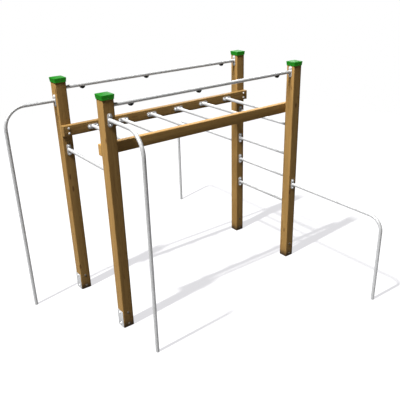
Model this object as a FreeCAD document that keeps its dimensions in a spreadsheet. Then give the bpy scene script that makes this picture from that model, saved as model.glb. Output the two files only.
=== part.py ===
import FreeCAD, Part
import math
import os
import Sketcher
from FreeCAD import Placement, Rotation, Vector

# Monkey bars for a playground.
#
# Four square timber posts stand in a rectangle. Two timber beams are lapped on their inner
# faces and carry the overhead rungs. The right-hand pair of posts is also a ladder, the
# left-hand pair has one rung, a round bar runs along the top between the posts of each long
# side, and four bent bars lead from the posts down to the ground: two tall climbing poles
# and two low turning bars.
#
# Frame: +X runs along the beams from the climbing end to the ladder end, +Y from the front
# side to the rear side, and +Z up. The origin lies on the ground, in the middle of the whole
# object's outline seen from above. Lengths are in millimetres.

DIMENSIONS = {
    "post_spacing_x": (2467, "centre to centre of the posts along the beams"),
    "post_spacing_y": (1010, "centre to centre of the posts across the beams"),
    "post_size": (120, "side of the square post"),
    "post_height": (2535, "top of the timber, inside the cap"),
    "post_edge_radius": (8, "rounding of the post's long edges"),
    "beam_height": (114, "beam section, vertical side"),
    "beam_thickness": (60, "beam section, horizontal side"),
    "beam_edge_radius": (6, "rounding of the beam's long edges"),
    "beam_level": (1996, "centre line of the beams and of the overhead rungs"),
    "beam_screw_spacing": (56, "between the two screws of one beam joint"),
    "tube_diameter": (38, "outside diameter of every round bar"),
    "tube_wall": (3, "wall of every round bar"),
    "flange_spacing": (90, "between the two holes of a flange"),
    "flange_end": (20, "from the hole of a flange to its rounded end"),
    "flange_width": (50, "flange plate, short side"),
    "flange_thickness": (6, "flange plate"),
    "weld_leg": (4, "fillet weld between flange and tube"),
    "rung_pitch": (379, "between neighbouring overhead rungs"),
    "ladder_level_1": (764, "lowest ladder rung"),
    "ladder_level_2": (1104, "second ladder rung"),
    "ladder_level_3": (1402, "third ladder rung"),
    "ladder_level_4": (1779, "highest ladder rung"),
    "end_rung_level": (1773, "rung between the two left posts"),
    "top_bar_level": (2432, "round bars between the post tops"),
    "tall_reach": (619, "post centre to the upright of a climbing pole"),
    "tall_level": (2310, "horizontal stretch of a climbing pole"),
    "tall_bend_radius": (220, "centre line bend of a climbing pole"),
    "low_reach": (1421, "post centre to the upright of a turning bar"),
    "low_level": (1030, "horizontal stretch of the front turning bar"),
    "middle_level": (1336, "horizontal stretch of the rear turning bar"),
    "low_bend_radius": (160, "centre line bend of a turning bar"),
    "lug_offset_left": (-967, "left hanging lug, from the middle of its bar"),
    "lug_offset_middle": (-158, "middle hanging lug, from the middle of its bar"),
    "lug_offset_right": (959, "right hanging lug, from the middle of its bar"),
    "lug_radius": (32, "round outline of a hanging lug"),
    "lug_centre_drop": (9, "centre of that outline below the bar's centre line"),
    "lug_thickness": (22, "width of a hanging lug along its eye"),
    "lug_top_drop": (9.5, "highest point of a lug below the bar's centre line"),
    "lug_eye_radius": (5, "eye for a shackle"),
    "lug_eye_drop": (30, "centre of the eye below the bar's centre line"),
    "cap_level": (2500, "lower edge of a post cap"),
    "cap_wall": (4, "side wall of a post cap at its lower edge"),
    "cap_flare": (5, "how much wider a cap's upper edge is, on each side"),
    "cap_corner_radius": (10, "rounding of a cap's four corners"),
    "cap_side_height": (45, "side of a post cap"),
    "cap_roof_rise": (12, "low pyramid on top of a cap"),
    "cap_roof_flat": (24, "side of the flat on top of that pyramid"),
    "cap_roof_radius": (4, "rounding of that flat's corners"),
    "cap_clearance": (0.5, "gap between a cap and its post"),
    "cap_screw_level": (2516, "screws that hold a cap to its post"),
    "cap_screw_radius": (2, "shank of a cap screw"),
    "cap_screw_length": (25, "shank of a cap screw"),
    "cap_screw_head": (4, "head radius of a cap screw"),
    "cap_screw_head_height": (2.5, "head of a cap screw"),
    "screw_radius": (5, "shank of a coach screw"),
    "screw_length": (58, "shank of a coach screw"),
    "beam_screw_length": (110, "shank of the long coach screws that hold the beams"),
    "anchor_screw_length": (48, "shank of the coach screws through an anchor"),
    "screw_tip": (6, "conical point of a coach screw"),
    "screw_tip_radius": (1, "blunt end of that point"),
    "screw_hex_radius": (9.8, "hexagon head, centre to corner"),
    "screw_head_height": (6.4, "hexagon head"),
    "hole_clearance": (0.3, "gap between a shank and its hole, on the radius"),
    "washer_radius": (10.5, "plain washer"),
    "washer_thickness": (2, "plain washer"),
    "bolt_washer_radius": (12.5, "plain washer of the bolts through a post's foot"),
    "round_head_taper": (0.6, "top of a round head as a share of its underside"),
    "anchor_leg": (115, "each side of the steel angle at a post's foot"),
    "anchor_thickness": (5, "steel angle"),
    "anchor_height": (200, "steel angle above the ground"),
    "anchor_bolt_low": (42, "lower row of anchor fixings"),
    "anchor_bolt_high": (180, "upper row of anchor fixings"),
    "bolt_radius": (6, "shank of the bolts through a post's foot"),
    "bolt_head_radius": (14, "mushroom head of those bolts"),
    "bolt_head_height": (6, "mushroom head of those bolts"),
    "bolt_end": (4, "thread that stands out of the nut"),
    "nut_hex_radius": (11, "nut, centre to corner"),
    "nut_height": (10, "nut"),
}

doc = FreeCAD.newDocument("MonkeyBars")
dims = doc.addObject("Spreadsheet::Sheet", "dims")
for row, (alias, (number, meaning)) in enumerate(DIMENSIONS.items(), start=1):
    dims.set(f"A{row}", meaning)
    dims.set(f"B{row}", str(number))
    dims.setAlias(f"B{row}", alias)
doc.recompute()

ALONG = Vector(1, 0, 0)
ACROSS = Vector(0, 1, 0)
UP = Vector(0, 0, 1)
QUARTER_TURN = math.pi / 2

# The tall pole reaches further out on the left than the anchor's screw heads do on the
# right, so everything is shifted by half the difference to keep the origin in the middle.
RIGHT_EXTENT = (
    "dims.post_size / 2 + dims.anchor_thickness + dims.washer_thickness + dims.screw_head_height"
)
LEFT_EXTENT = "dims.tall_reach + dims.tube_diameter / 2"
SHIFT = f"(({LEFT_EXTENT}) - ({RIGHT_EXTENT})) / 2"

HALF_X = "dims.post_spacing_x / 2"
HALF_Y = "dims.post_spacing_y / 2"
HALF_POST = "dims.post_size / 2"

nodes = []


def value(expression):
    """The number that an expression on the sheet gives."""
    return float(dims.evalExpression(expression))


def keep(piece, name):
    """Make an object one of the sub-parts, under its own name."""
    piece.Label = name
    nodes.append(piece)
    return piece


def put(piece, x="0", y="0", z="0", rotation=Rotation()):
    """Place an object by expressions on the sheet, turned by a rotation."""
    piece.Placement = Placement(Vector(value(x), value(y), value(z)), rotation)
    for axis, expression in zip("xyz", (x, y, z)):
        piece.setExpression(f"Placement.Base.{axis}", expression)
    return piece


def facing(long_axis, outward):
    """The rotation that takes a piece's own X to long_axis and its own Z to outward."""
    return Rotation(long_axis, outward.cross(long_axis), outward, "ZXY")


# ---- Sketches ---------------------------------------------------------------------------


def new_sketch(body, role, name, offset=None):
    """A sketch on one of the body's own origin planes, raised by offset along its normal."""
    sketch = body.newObject("Sketcher::SketchObject", name)
    plane = next(feature for feature in body.Origin.OriginFeatures if feature.Role == role)
    sketch.AttachmentSupport = [(plane, "")]
    sketch.MapMode = "FlatFace"
    if offset:
        sketch.setExpression("AttachmentOffset.Base.z", offset)
    return sketch


def measure(sketch, name, expression, kind, *references):
    """Add a dimension to a sketch and tie it to the sheet."""
    constraint = Sketcher.Constraint(kind, *references, value(expression))
    index = sketch.addConstraint(constraint)
    sketch.renameConstraint(index, name)
    sketch.setExpression(f"Constraints.{name}", expression)


def tie(sketch, kind, *references):
    """Add a constraint without a dimension."""
    sketch.addConstraint(Sketcher.Constraint(kind, *references))


def draw_rectangle(sketch, width, depth):
    """A rectangle centred on the sketch's origin."""
    half_width = value(width) / 2
    half_depth = value(depth) / 2
    corners = [
        Vector(-half_width, -half_depth, 0),
        Vector(half_width, -half_depth, 0),
        Vector(half_width, half_depth, 0),
        Vector(-half_width, half_depth, 0),
    ]
    for side in range(4):
        sketch.addGeometry(Part.LineSegment(corners[side], corners[(side + 1) % 4]))
    for side in range(4):
        tie(sketch, "Coincident", side, 2, (side + 1) % 4, 1)
    for side, kind in enumerate(("Horizontal", "Vertical", "Horizontal", "Vertical")):
        tie(sketch, kind, side)
    tie(sketch, "Symmetric", 0, 1, 2, 1, -1, 1)
    measure(sketch, "width", width, "DistanceX", 0, 1, 0, 2)
    measure(sketch, "depth", depth, "DistanceY", 1, 1, 1, 2)


def draw_rounded_square(sketch, side, radius):
    """A square with rounded corners, centred on the sketch's origin."""
    half = value(side) / 2
    corner = value(radius)
    inner = half - corner
    for turn in range(4):
        spin = Rotation(UP, 90 * turn)
        start = spin.multVec(Vector(-inner, -half, 0))
        end = spin.multVec(Vector(inner, -half, 0))
        centre = spin.multVec(Vector(inner, -inner, 0))
        first = (turn - 1) * QUARTER_TURN
        sketch.addGeometry(Part.LineSegment(start, end))
        rounding = Part.Circle(centre, UP, corner)
        sketch.addGeometry(Part.ArcOfCircle(rounding, first, first + QUARTER_TURN))
    lines = (0, 2, 4, 6)
    arcs = (1, 3, 5, 7)
    for turn in range(4):
        tie(sketch, "Tangent", lines[turn], 2, arcs[turn], 1)
        tie(sketch, "Tangent", arcs[turn], 2, lines[(turn + 1) % 4], 1)
    for line, kind in zip(lines, ("Horizontal", "Vertical", "Horizontal", "Vertical")):
        tie(sketch, kind, line)
    for arc in arcs[1:]:
        tie(sketch, "Equal", arcs[0], arc)
    tie(sketch, "Symmetric", arcs[0], 3, arcs[2], 3, -1, 1)
    measure(sketch, "corner", radius, "Radius", arcs[0])
    measure(sketch, "width", side, "DistanceX", lines[3], 1, lines[1], 1)
    measure(sketch, "depth", side, "DistanceY", lines[0], 1, lines[2], 1)


def draw_circle(sketch, name, radius, x="0", y="0"):
    """A circle at a place that the sheet gives."""
    centre = Vector(value(x), value(y), 0)
    index = sketch.addGeometry(Part.Circle(centre, UP, value(radius)))
    measure(sketch, f"{name}_radius", radius, "Radius", index)
    for axis, kind, expression in (("x", "DistanceX", x), ("y", "DistanceY", y)):
        if expression == "0":
            other_axis = -2 if axis == "x" else -1
            tie(sketch, "PointOnObject", index, 3, other_axis)
        else:
            measure(sketch, f"{name}_{axis}", expression, kind, -1, 1, index, 3)


def draw_oblong(sketch, centre_distance, radius):
    """A round-ended slot outline along the sketch's X axis, centred on its origin."""
    reach = value(centre_distance) / 2
    size = value(radius)
    right = Part.Circle(Vector(reach, 0, 0), UP, size)
    left = Part.Circle(Vector(-reach, 0, 0), UP, size)
    sketch.addGeometry(Part.ArcOfCircle(right, -QUARTER_TURN, QUARTER_TURN))
    sketch.addGeometry(Part.ArcOfCircle(left, QUARTER_TURN, 3 * QUARTER_TURN))
    sketch.addGeometry(Part.LineSegment(Vector(reach, size, 0), Vector(-reach, size, 0)))
    sketch.addGeometry(Part.LineSegment(Vector(-reach, -size, 0), Vector(reach, -size, 0)))
    tie(sketch, "Tangent", 0, 2, 2, 1)
    tie(sketch, "Tangent", 2, 2, 1, 1)
    tie(sketch, "Tangent", 1, 2, 3, 1)
    tie(sketch, "Tangent", 3, 2, 0, 1)
    tie(sketch, "Symmetric", 0, 3, 1, 3, -1, 1)
    tie(sketch, "PointOnObject", 0, 3, -1)
    measure(sketch, "end_radius", radius, "Radius", 0)
    measure(sketch, "centre_distance", centre_distance, "DistanceX", 1, 3, 0, 3)


def pad(body, sketch, length, centred=False):
    """Extrude a sketch."""
    feature = body.newObject("PartDesign::Pad", "Pad")
    feature.Profile = sketch
    if centred:
        feature.SideType = "Symmetric"
    feature.setExpression("Length", length)
    return feature


def round_edges(body, feature, direction, radius):
    """Round every straight edge of a feature that runs along a direction."""
    doc.recompute()
    names = []
    for number, edge in enumerate(feature.Shape.Edges, start=1):
        if abs(edge.tangentAt(edge.FirstParameter).dot(direction)) > 0.999:
            names.append(f"Edge{number}")
    fillet = body.newObject("PartDesign::Fillet", "Fillet")
    fillet.Base = (feature, names)
    fillet.setExpression("Radius", radius)


# ---- Primitives -------------------------------------------------------------------------


def solid_of(kind, name, z="0", **sizes):
    """A Part primitive on the Z axis, each of its sizes tied to the sheet."""
    piece = doc.addObject(f"Part::{kind}", name)
    for size, expression in sizes.items():
        piece.setExpression(size, expression)
    return put(piece, z=z)


def fused(name, pieces):
    """Several touching solids as one."""
    union = doc.addObject("Part::MultiFuse", name)
    union.Shapes = pieces
    return union


def without(name, base, tool):
    """One solid less another."""
    difference = doc.addObject("Part::Cut", name)
    difference.Base = base
    difference.Tool = tool
    return difference


def group(name, pieces):
    """Separate solids that make up one piece or one set of fasteners."""
    compound = doc.addObject("Part::Compound", name)
    compound.Links = pieces
    return compound


def link_to(piece, name):
    """A second place for a piece that is already drawn."""
    link = doc.addObject("App::Link", name)
    link.LinkedObject = piece
    return link


def repeated(name, piece, placements):
    """The same solid at many places, as one object."""
    doc.recompute()
    copies = []
    for placement in placements:
        copies.append(piece.Shape.transformed(placement.toMatrix(), True))
    feature = doc.addObject("Part::Feature", name)
    feature.Shape = Part.makeCompound(copies)
    feature.Placement = Placement()
    return feature


# ---- Fasteners, each drawn with the underside of its head at the origin ------------------


def coach_screw(name, length):
    """A hexagon-headed wood screw whose shank points down the Z axis."""
    head = solid_of(
        "Prism",
        f"{name}_head",
        Circumradius="dims.screw_hex_radius",
        Height="dims.screw_head_height",
    )
    straight = f"({length} - dims.screw_tip)"
    shank = solid_of(
        "Cylinder",
        f"{name}_shank",
        z=f"-{straight}",
        Radius="dims.screw_radius",
        Height=straight,
    )
    tip = solid_of(
        "Cone",
        f"{name}_tip",
        z=f"-({length})",
        Radius1="dims.screw_tip_radius",
        Radius2="dims.screw_radius",
        Height="dims.screw_tip",
    )
    return fused(name, [head, shank, tip])


def plain_screw(name, radius, length, head_radius, head_height):
    """A round-headed screw or bolt whose shank points down the Z axis."""
    head = solid_of(
        "Cone",
        f"{name}_head",
        Radius1=head_radius,
        Radius2=f"{head_radius} * dims.round_head_taper",
        Height=head_height,
    )
    shank = solid_of("Cylinder", f"{name}_shank", z=f"-({length})", Radius=radius, Height=length)
    return fused(name, [head, shank])


def ring(name, blank, hole_radius, height):
    """A washer or a nut: a flat blank with a hole through it."""
    hole = solid_of("Cylinder", f"{name}_hole", Radius=hole_radius, Height=height)
    return without(name, blank, hole)


def drill(name, radius, depth):
    """The hole that a screw needs in what it enters, down the Z axis."""
    room = "dims.hole_clearance"
    return solid_of(
        "Cylinder",
        name,
        z=f"-({depth}) - {room}",
        Radius=f"{radius} + {room}",
        Height=f"{depth} + {room}",
    )


BOLT_LENGTH = (
    "(dims.post_size + dims.anchor_thickness + dims.washer_thickness"
    " + dims.nut_height + dims.bolt_end)"
)
flange_screw = coach_screw("flange_screw", "dims.screw_length")
beam_screw = coach_screw("beam_screw", "dims.beam_screw_length")
anchor_screw = coach_screw("anchor_screw", "dims.anchor_screw_length")
cap_screw = plain_screw(
    "cap_screw",
    "dims.cap_screw_radius",
    "dims.cap_screw_length",
    "dims.cap_screw_head",
    "dims.cap_screw_head_height",
)
anchor_bolt = plain_screw(
    "anchor_bolt",
    "dims.bolt_radius",
    BOLT_LENGTH,
    "dims.bolt_head_radius",
    "dims.bolt_head_height",
)
washer_blank = solid_of(
    "Cylinder", "washer_blank", Radius="dims.washer_radius", Height="dims.washer_thickness"
)
washer = ring(
    "washer", washer_blank, "dims.screw_radius + dims.hole_clearance", "dims.washer_thickness"
)
bolt_washer_blank = solid_of(
    "Cylinder",
    "bolt_washer_blank",
    Radius="dims.bolt_washer_radius",
    Height="dims.washer_thickness",
)
bolt_washer = ring(
    "bolt_washer",
    bolt_washer_blank,
    "dims.bolt_radius + dims.hole_clearance",
    "dims.washer_thickness",
)
nut_blank = solid_of(
    "Prism", "nut_blank", Circumradius="dims.nut_hex_radius", Height="dims.nut_height"
)
nut = ring("nut", nut_blank, "dims.bolt_radius + dims.hole_clearance", "dims.nut_height")

flange_drill = drill("flange_drill", "dims.screw_radius", "dims.screw_length")
beam_drill = drill("beam_drill", "dims.screw_radius", "dims.beam_screw_length")
anchor_drill = drill("anchor_drill", "dims.screw_radius", "dims.anchor_screw_length")
cap_drill = drill("cap_drill", "dims.cap_screw_radius", "dims.cap_screw_length")
bolt_drill = drill("bolt_drill", "dims.bolt_radius", BOLT_LENGTH)


# ---- Steel bars with welded flanges --------------------------------------------------------


def flange_plate():
    """A round-ended plate with two screw holes and the weld that joins the tube to it.

    The plate lies on the XY plane, its long side along X, and the tube stands on it.
    """
    body = doc.addObject("PartDesign::Body", "flange_plate")
    outline = new_sketch(body, "XY_Plane", "flange_outline")
    end_radius = "dims.flange_width / 2"
    plate_length = "(dims.flange_spacing + 2 * dims.flange_end)"
    draw_oblong(outline, f"{plate_length} - dims.flange_width", end_radius)
    hole_radius = "dims.screw_radius + dims.hole_clearance"
    draw_circle(outline, "right_hole", hole_radius, x="dims.flange_spacing / 2")
    draw_circle(outline, "left_hole", hole_radius, x="-dims.flange_spacing / 2")
    pad(body, outline, "dims.flange_thickness")
    weld = new_sketch(body, "XZ_Plane", "weld_section")
    inner = value("dims.tube_diameter / 2")
    base = value("dims.flange_thickness")
    leg = value("dims.weld_leg")
    corners = [Vector(inner, base, 0), Vector(inner + leg, base, 0), Vector(inner, base + leg, 0)]
    for side in range(3):
        weld.addGeometry(Part.LineSegment(corners[side], corners[(side + 1) % 3]))
    for side in range(3):
        tie(weld, "Coincident", side, 2, (side + 1) % 3, 1)
    tie(weld, "Horizontal", 0)
    tie(weld, "Vertical", 2)
    measure(weld, "inner", "dims.tube_diameter / 2", "DistanceX", -1, 1, 0, 1)
    measure(weld, "base", "dims.flange_thickness", "DistanceY", -1, 1, 0, 1)
    measure(weld, "leg_out", "dims.weld_leg", "DistanceX", 0, 1, 0, 2)
    measure(weld, "leg_up", "dims.weld_leg", "DistanceY", 0, 1, 2, 1)
    bead = body.newObject("PartDesign::Revolution", "weld_bead")
    bead.Profile = weld
    bead.ReferenceAxis = (weld, ["V_Axis"])
    bead.Angle = 360
    return body


def draw_tube_section(sketch):
    """The two circles of a round tube."""
    draw_circle(sketch, "outside", "dims.tube_diameter / 2")
    draw_circle(sketch, "inside", "dims.tube_diameter / 2 - dims.tube_wall")


def straight_tube(name, span):
    """A tube between two flanges whose outer faces are a span apart, along Z."""
    body = doc.addObject("PartDesign::Body", name)
    section = new_sketch(body, "XY_Plane", f"{name}_section", offset="dims.flange_thickness")
    draw_tube_section(section)
    pad(body, section, f"{span} - 2 * dims.flange_thickness")
    return body


def straight_bar(name, span):
    """The tube and its two flanges, from the face at the origin to the face at z = span."""
    far_flange = link_to(flange, f"{name}_far_flange")
    put(far_flange, z=span, rotation=Rotation(ALONG, 180))
    return [straight_tube(f"{name}_tube", span), flange, far_flange]


def bent_tube(name, reach, level, bend_radius):
    """A tube that leaves a post at x = 0 along X, bends down and ends on the ground."""
    body = doc.addObject("PartDesign::Body", name)
    spine = new_sketch(body, "XZ_Plane", f"{name}_spine")
    start = value("dims.flange_thickness")
    far = value(reach)
    top = value(level)
    bend = value(bend_radius)
    centre = Vector(far - bend, top - bend, 0)
    spine.addGeometry(Part.LineSegment(Vector(start, top, 0), Vector(far - bend, top, 0)))
    spine.addGeometry(Part.ArcOfCircle(Part.Circle(centre, UP, bend), 0, QUARTER_TURN))
    spine.addGeometry(Part.LineSegment(Vector(far, top - bend, 0), Vector(far, 0, 0)))
    tie(spine, "Horizontal", 0)
    tie(spine, "Vertical", 2)
    tie(spine, "Tangent", 0, 2, 1, 2)
    tie(spine, "Tangent", 1, 1, 2, 1)
    tie(spine, "PointOnObject", 2, 2, -1)
    measure(spine, "start", "dims.flange_thickness", "DistanceX", -1, 1, 0, 1)
    measure(spine, "level", level, "DistanceY", -1, 1, 0, 1)
    measure(spine, "reach", reach, "DistanceX", -1, 1, 2, 2)
    measure(spine, "bend", bend_radius, "Radius", 1)
    section = new_sketch(body, "XY_Plane", f"{name}_section")
    section.setExpression("AttachmentOffset.Base.x", reach)
    draw_tube_section(section)
    pipe = body.newObject("PartDesign::AdditivePipe", f"{name}_pipe")
    pipe.Profile = section
    pipe.Spine = (spine, ["Edge3", "Edge2", "Edge1"])
    return body


def bent_bar(name, reach, level, bend_radius):
    """A bent tube and the flange that holds its upper end to a post."""
    face_reach = f"({reach} - {HALF_POST})"
    tube = bent_tube(f"{name}_tube", face_reach, level, bend_radius)
    upper_flange = link_to(flange, f"{name}_flange")
    put(upper_flange, z=level, rotation=facing(UP, ALONG))
    return [tube, upper_flange]


def flange_seats(placement, span):
    """Where the screw heads of a straight bar's flanges sit, in the object's frame."""
    seats = end_seats(placement)
    far_end = placement * Placement(Vector(0, 0, value(span)), Rotation(ALONG, 180))
    return seats + end_seats(far_end)


def end_seats(placement):
    """Where the two screw heads of one flange sit."""
    side = value("dims.flange_spacing / 2")
    height = value("dims.flange_thickness + dims.washer_thickness")
    return [placement * Placement(Vector(x, 0, height), Rotation()) for x in (-side, side)]


flange = flange_plate()
flange_seat_lists = {"overhead_rung": [], "ladder_rung": [], "top_bar": [], "bent_bar": []}

BEAM_SPAN = "(dims.post_spacing_y - dims.post_size - 2 * dims.beam_thickness)"
POST_SPAN_Y = "(dims.post_spacing_y - dims.post_size)"
POST_SPAN_X = "(dims.post_spacing_x - dims.post_size)"

RUNG_COUNT = 6
rung_parts = straight_bar("overhead_rung", BEAM_SPAN)
for number in range(1, RUNG_COUNT + 1):
    steps = number - (RUNG_COUNT + 1) / 2
    rung = keep(group(f"overhead_rung_{number}", rung_parts), f"overhead_rung_{number}")
    put(
        rung,
        x=f"{SHIFT} + {steps} * dims.rung_pitch",
        y=f"-{BEAM_SPAN} / 2",
        z="dims.beam_level",
        rotation=facing(ALONG, ACROSS),
    )
    flange_seat_lists["overhead_rung"] += flange_seats(rung.Placement, BEAM_SPAN)

LADDER_LEVELS = [f"dims.ladder_level_{number}" for number in range(1, 5)]
across_parts = straight_bar("post_rung", POST_SPAN_Y)


def post_rung(name, x, level):
    """A rung between the front and rear post of one end."""
    piece = keep(group(name, across_parts), name)
    put(piece, x=x, y=f"-{POST_SPAN_Y} / 2", z=level, rotation=facing(UP, ACROSS))
    flange_seat_lists["ladder_rung"] += flange_seats(piece.Placement, POST_SPAN_Y)


for number, level in enumerate(LADDER_LEVELS, start=1):
    post_rung(f"ladder_rung_{number}", f"{SHIFT} + {HALF_X}", level)
post_rung("end_rung", f"{SHIFT} - {HALF_X}", "dims.end_rung_level")

along_parts = straight_bar("top_bar", POST_SPAN_X)
for side, sign in (("front", "-"), ("rear", "+")):
    bar = keep(group(f"top_bar_{side}", along_parts), f"top_bar_{side}")
    put(
        bar,
        x=f"{SHIFT} - {POST_SPAN_X} / 2",
        y=f"0 {sign} {HALF_Y}",
        z="dims.top_bar_level",
        rotation=facing(UP, ALONG),
    )
    flange_seat_lists["top_bar"] += flange_seats(bar.Placement, POST_SPAN_X)

# Each bent bar: name, reach, level, bend, signs of its post's place, outward direction.
BENT_BARS = [
    ("climbing_pole_left", "tall_reach", "tall_level", "tall_bend_radius", "-", "+", -ALONG),
    ("climbing_pole_front", "tall_reach", "tall_level", "tall_bend_radius", "-", "-", -ACROSS),
    ("turning_bar_front", "low_reach", "low_level", "low_bend_radius", "+", "-", -ACROSS),
    ("turning_bar_rear", "low_reach", "middle_level", "low_bend_radius", "+", "+", ACROSS),
]
for name, reach, level, bend_radius, x_sign, y_sign, outward in BENT_BARS:
    parts = bent_bar(name, f"dims.{reach}", f"dims.{level}", f"dims.{bend_radius}")
    bar = keep(group(name, parts), name)
    put(
        bar,
        x=f"{SHIFT} {x_sign} {HALF_X} + ({outward.x}) * {HALF_POST}",
        y=f"0 {y_sign} {HALF_Y} + ({outward.y}) * {HALF_POST}",
        rotation=Rotation(ALONG, outward),
    )
    end = Placement(Vector(0, 0, value(f"dims.{level}")), facing(UP, ALONG))
    flange_seat_lists["bent_bar"] += end_seats(bar.Placement * end)


# ---- Hanging lugs under the top bars --------------------------------------------------------


def hanging_lug():
    """A thick half-moon with an eye, its upper edge fitted to the underside of the bar."""
    body = doc.addObject("PartDesign::Body", "lug_body")
    outline = new_sketch(body, "XZ_Plane", "lug_outline")
    draw_circle(outline, "rim", "dims.lug_radius", y="-dims.lug_centre_drop")
    draw_circle(outline, "eye", "dims.lug_eye_radius", y="-dims.lug_eye_drop")
    pad(body, outline, "dims.lug_thickness", centred=True)
    reach = "2 * dims.lug_radius"
    room = doc.addObject("Part::Box", "lug_room")
    room.setExpression("Length", f"2 * {reach}")
    room.setExpression("Width", "2 * dims.tube_diameter")
    room.setExpression("Height", reach)
    put(room, x=f"-{reach}", y="-dims.tube_diameter", z="-dims.lug_top_drop")
    bar = doc.addObject("Part::Cylinder", "lug_bar")
    bar.setExpression("Radius", "dims.tube_diameter / 2")
    bar.setExpression("Height", f"2 * {reach}")
    put(bar, x=f"-{reach}", rotation=Rotation(ACROSS, 90))
    return without("lug", body, fused("lug_clearance", [room, bar]))


lug = hanging_lug()
for side, sign in (("front", "-"), ("rear", "+")):
    for place in ("left", "middle", "right"):
        piece = keep(group(f"lug_{side}_{place}", [lug]), f"hanging_lug_{side}_{place}")
        put(
            piece,
            x=f"{SHIFT} + dims.lug_offset_{place}",
            y=f"0 {sign} {HALF_Y}",
            z="dims.top_bar_level",
        )

# ---- Seats of the other fasteners ----------------------------------------------------------

POSTS = [
    ("front_left", "-", "-"),
    ("front_right", "+", "-"),
    ("rear_left", "-", "+"),
    ("rear_right", "+", "+"),
]
# How far a cap's side leans out at the upper edge of the screw heads.
CAP_SLOPE = (
    "dims.cap_flare * (dims.cap_screw_level + dims.cap_screw_head - dims.cap_level)"
    " / dims.cap_side_height"
)
beam_seats = []
cap_seats = []
anchor_screw_seats = []
bolt_seats = []
bolt_washer_seats = []
for name, x_sign, y_sign in POSTS:
    post_x = value(f"{SHIFT} {x_sign} {HALF_X}")
    post_y = value(f"0 {y_sign} {HALF_Y}")
    outer_end = ALONG * float(f"{x_sign}1")
    inward = ACROSS * -float(f"{y_sign}1")
    beam_face = value(f"{HALF_POST} + dims.beam_thickness + dims.washer_thickness")
    for step in (-0.5, 0.5):
        level = value(f"dims.beam_level + {step} * dims.beam_screw_spacing")
        seat = Vector(post_x, post_y, level) + inward * beam_face
        beam_seats.append(Placement(seat, facing(UP, inward)))
    cap_face = value(f"{HALF_POST} + dims.cap_clearance + dims.cap_wall + {CAP_SLOPE}")
    for outward in (ACROSS, -ACROSS):
        seat = Vector(post_x, post_y, value("dims.cap_screw_level")) + outward * cap_face
        cap_seats.append(Placement(seat, facing(UP, outward)))
    for row in ("dims.anchor_bolt_low", "dims.anchor_bolt_high"):
        centre = Vector(post_x, post_y, value(row))
        steel_face = value(f"{HALF_POST} + dims.anchor_thickness")
        screw_face = value(f"{HALF_POST} + dims.anchor_thickness + dims.washer_thickness")
        seat = centre + outer_end * screw_face
        anchor_screw_seats.append(Placement(seat, facing(UP, outer_end)))
        head_face = value(HALF_POST)
        bolt_seats.append(Placement(centre - ACROSS * head_face, facing(UP, -ACROSS)))
        bolt_washer_seats.append(Placement(centre + ACROSS * steel_face, facing(UP, ACROSS)))

# ---- Timber -----------------------------------------------------------------------------

drill_sets = [
    (flange_drill, sum(flange_seat_lists.values(), [])),
    (beam_drill, beam_seats),
    (anchor_drill, anchor_screw_seats),
    (cap_drill, cap_seats),
    (bolt_drill, bolt_seats),
]


def drilled(name, blank):
    """A blank less every screw hole that reaches into it."""
    doc.recompute()
    box = blank.Shape.BoundBox
    holes = []
    for tool, seats in drill_sets:
        for seat in seats:
            hole = tool.Shape.transformed(seat.toMatrix(), True)
            if box.intersect(hole.BoundBox):
                holes.append(hole)
    drills = doc.addObject("Part::Feature", f"{name}_holes")
    drills.Shape = Part.makeCompound(holes)
    return keep(without(f"{name}_drilled", blank, drills), name)


def post_blank(name, x, y):
    """A square timber with rounded long edges."""
    body = doc.addObject("PartDesign::Body", f"{name}_blank")
    section = new_sketch(body, "XY_Plane", f"{name}_section")
    draw_rectangle(section, "dims.post_size", "dims.post_size")
    timber = pad(body, section, "dims.post_height")
    round_edges(body, timber, UP, "dims.post_edge_radius")
    return put(body, x=x, y=y)


def beam_blank(name, y):
    """A timber on edge, as long as the outer faces of the posts are apart."""
    body = doc.addObject("PartDesign::Body", f"{name}_blank")
    section = new_sketch(body, "YZ_Plane", f"{name}_section")
    draw_rectangle(section, "dims.beam_thickness", "dims.beam_height")
    timber = pad(body, section, "dims.post_spacing_x + dims.post_size", centred=True)
    round_edges(body, timber, ALONG, "dims.beam_edge_radius")
    return put(body, x=SHIFT, y=y, z="dims.beam_level")


for name, x_sign, y_sign in POSTS:
    drilled(f"post_{name}", post_blank(name, f"{SHIFT} {x_sign} {HALF_X}", f"0 {y_sign} {HALF_Y}"))

INNER_FACE = f"({HALF_Y} - {HALF_POST} - dims.beam_thickness / 2)"
for side, sign in (("front", "-"), ("rear", "+")):
    drilled(f"beam_{side}", beam_blank(side, f"0 {sign} {INNER_FACE}"))


# ---- Post caps and ground anchors --------------------------------------------------------


def cap_outline(name, side, radius, level):
    """A level rounded square at a height above a cap's lower edge."""
    sketch = doc.addObject("Sketcher::SketchObject", name)
    draw_rounded_square(sketch, side, radius)
    return put(sketch, z=level)


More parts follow.
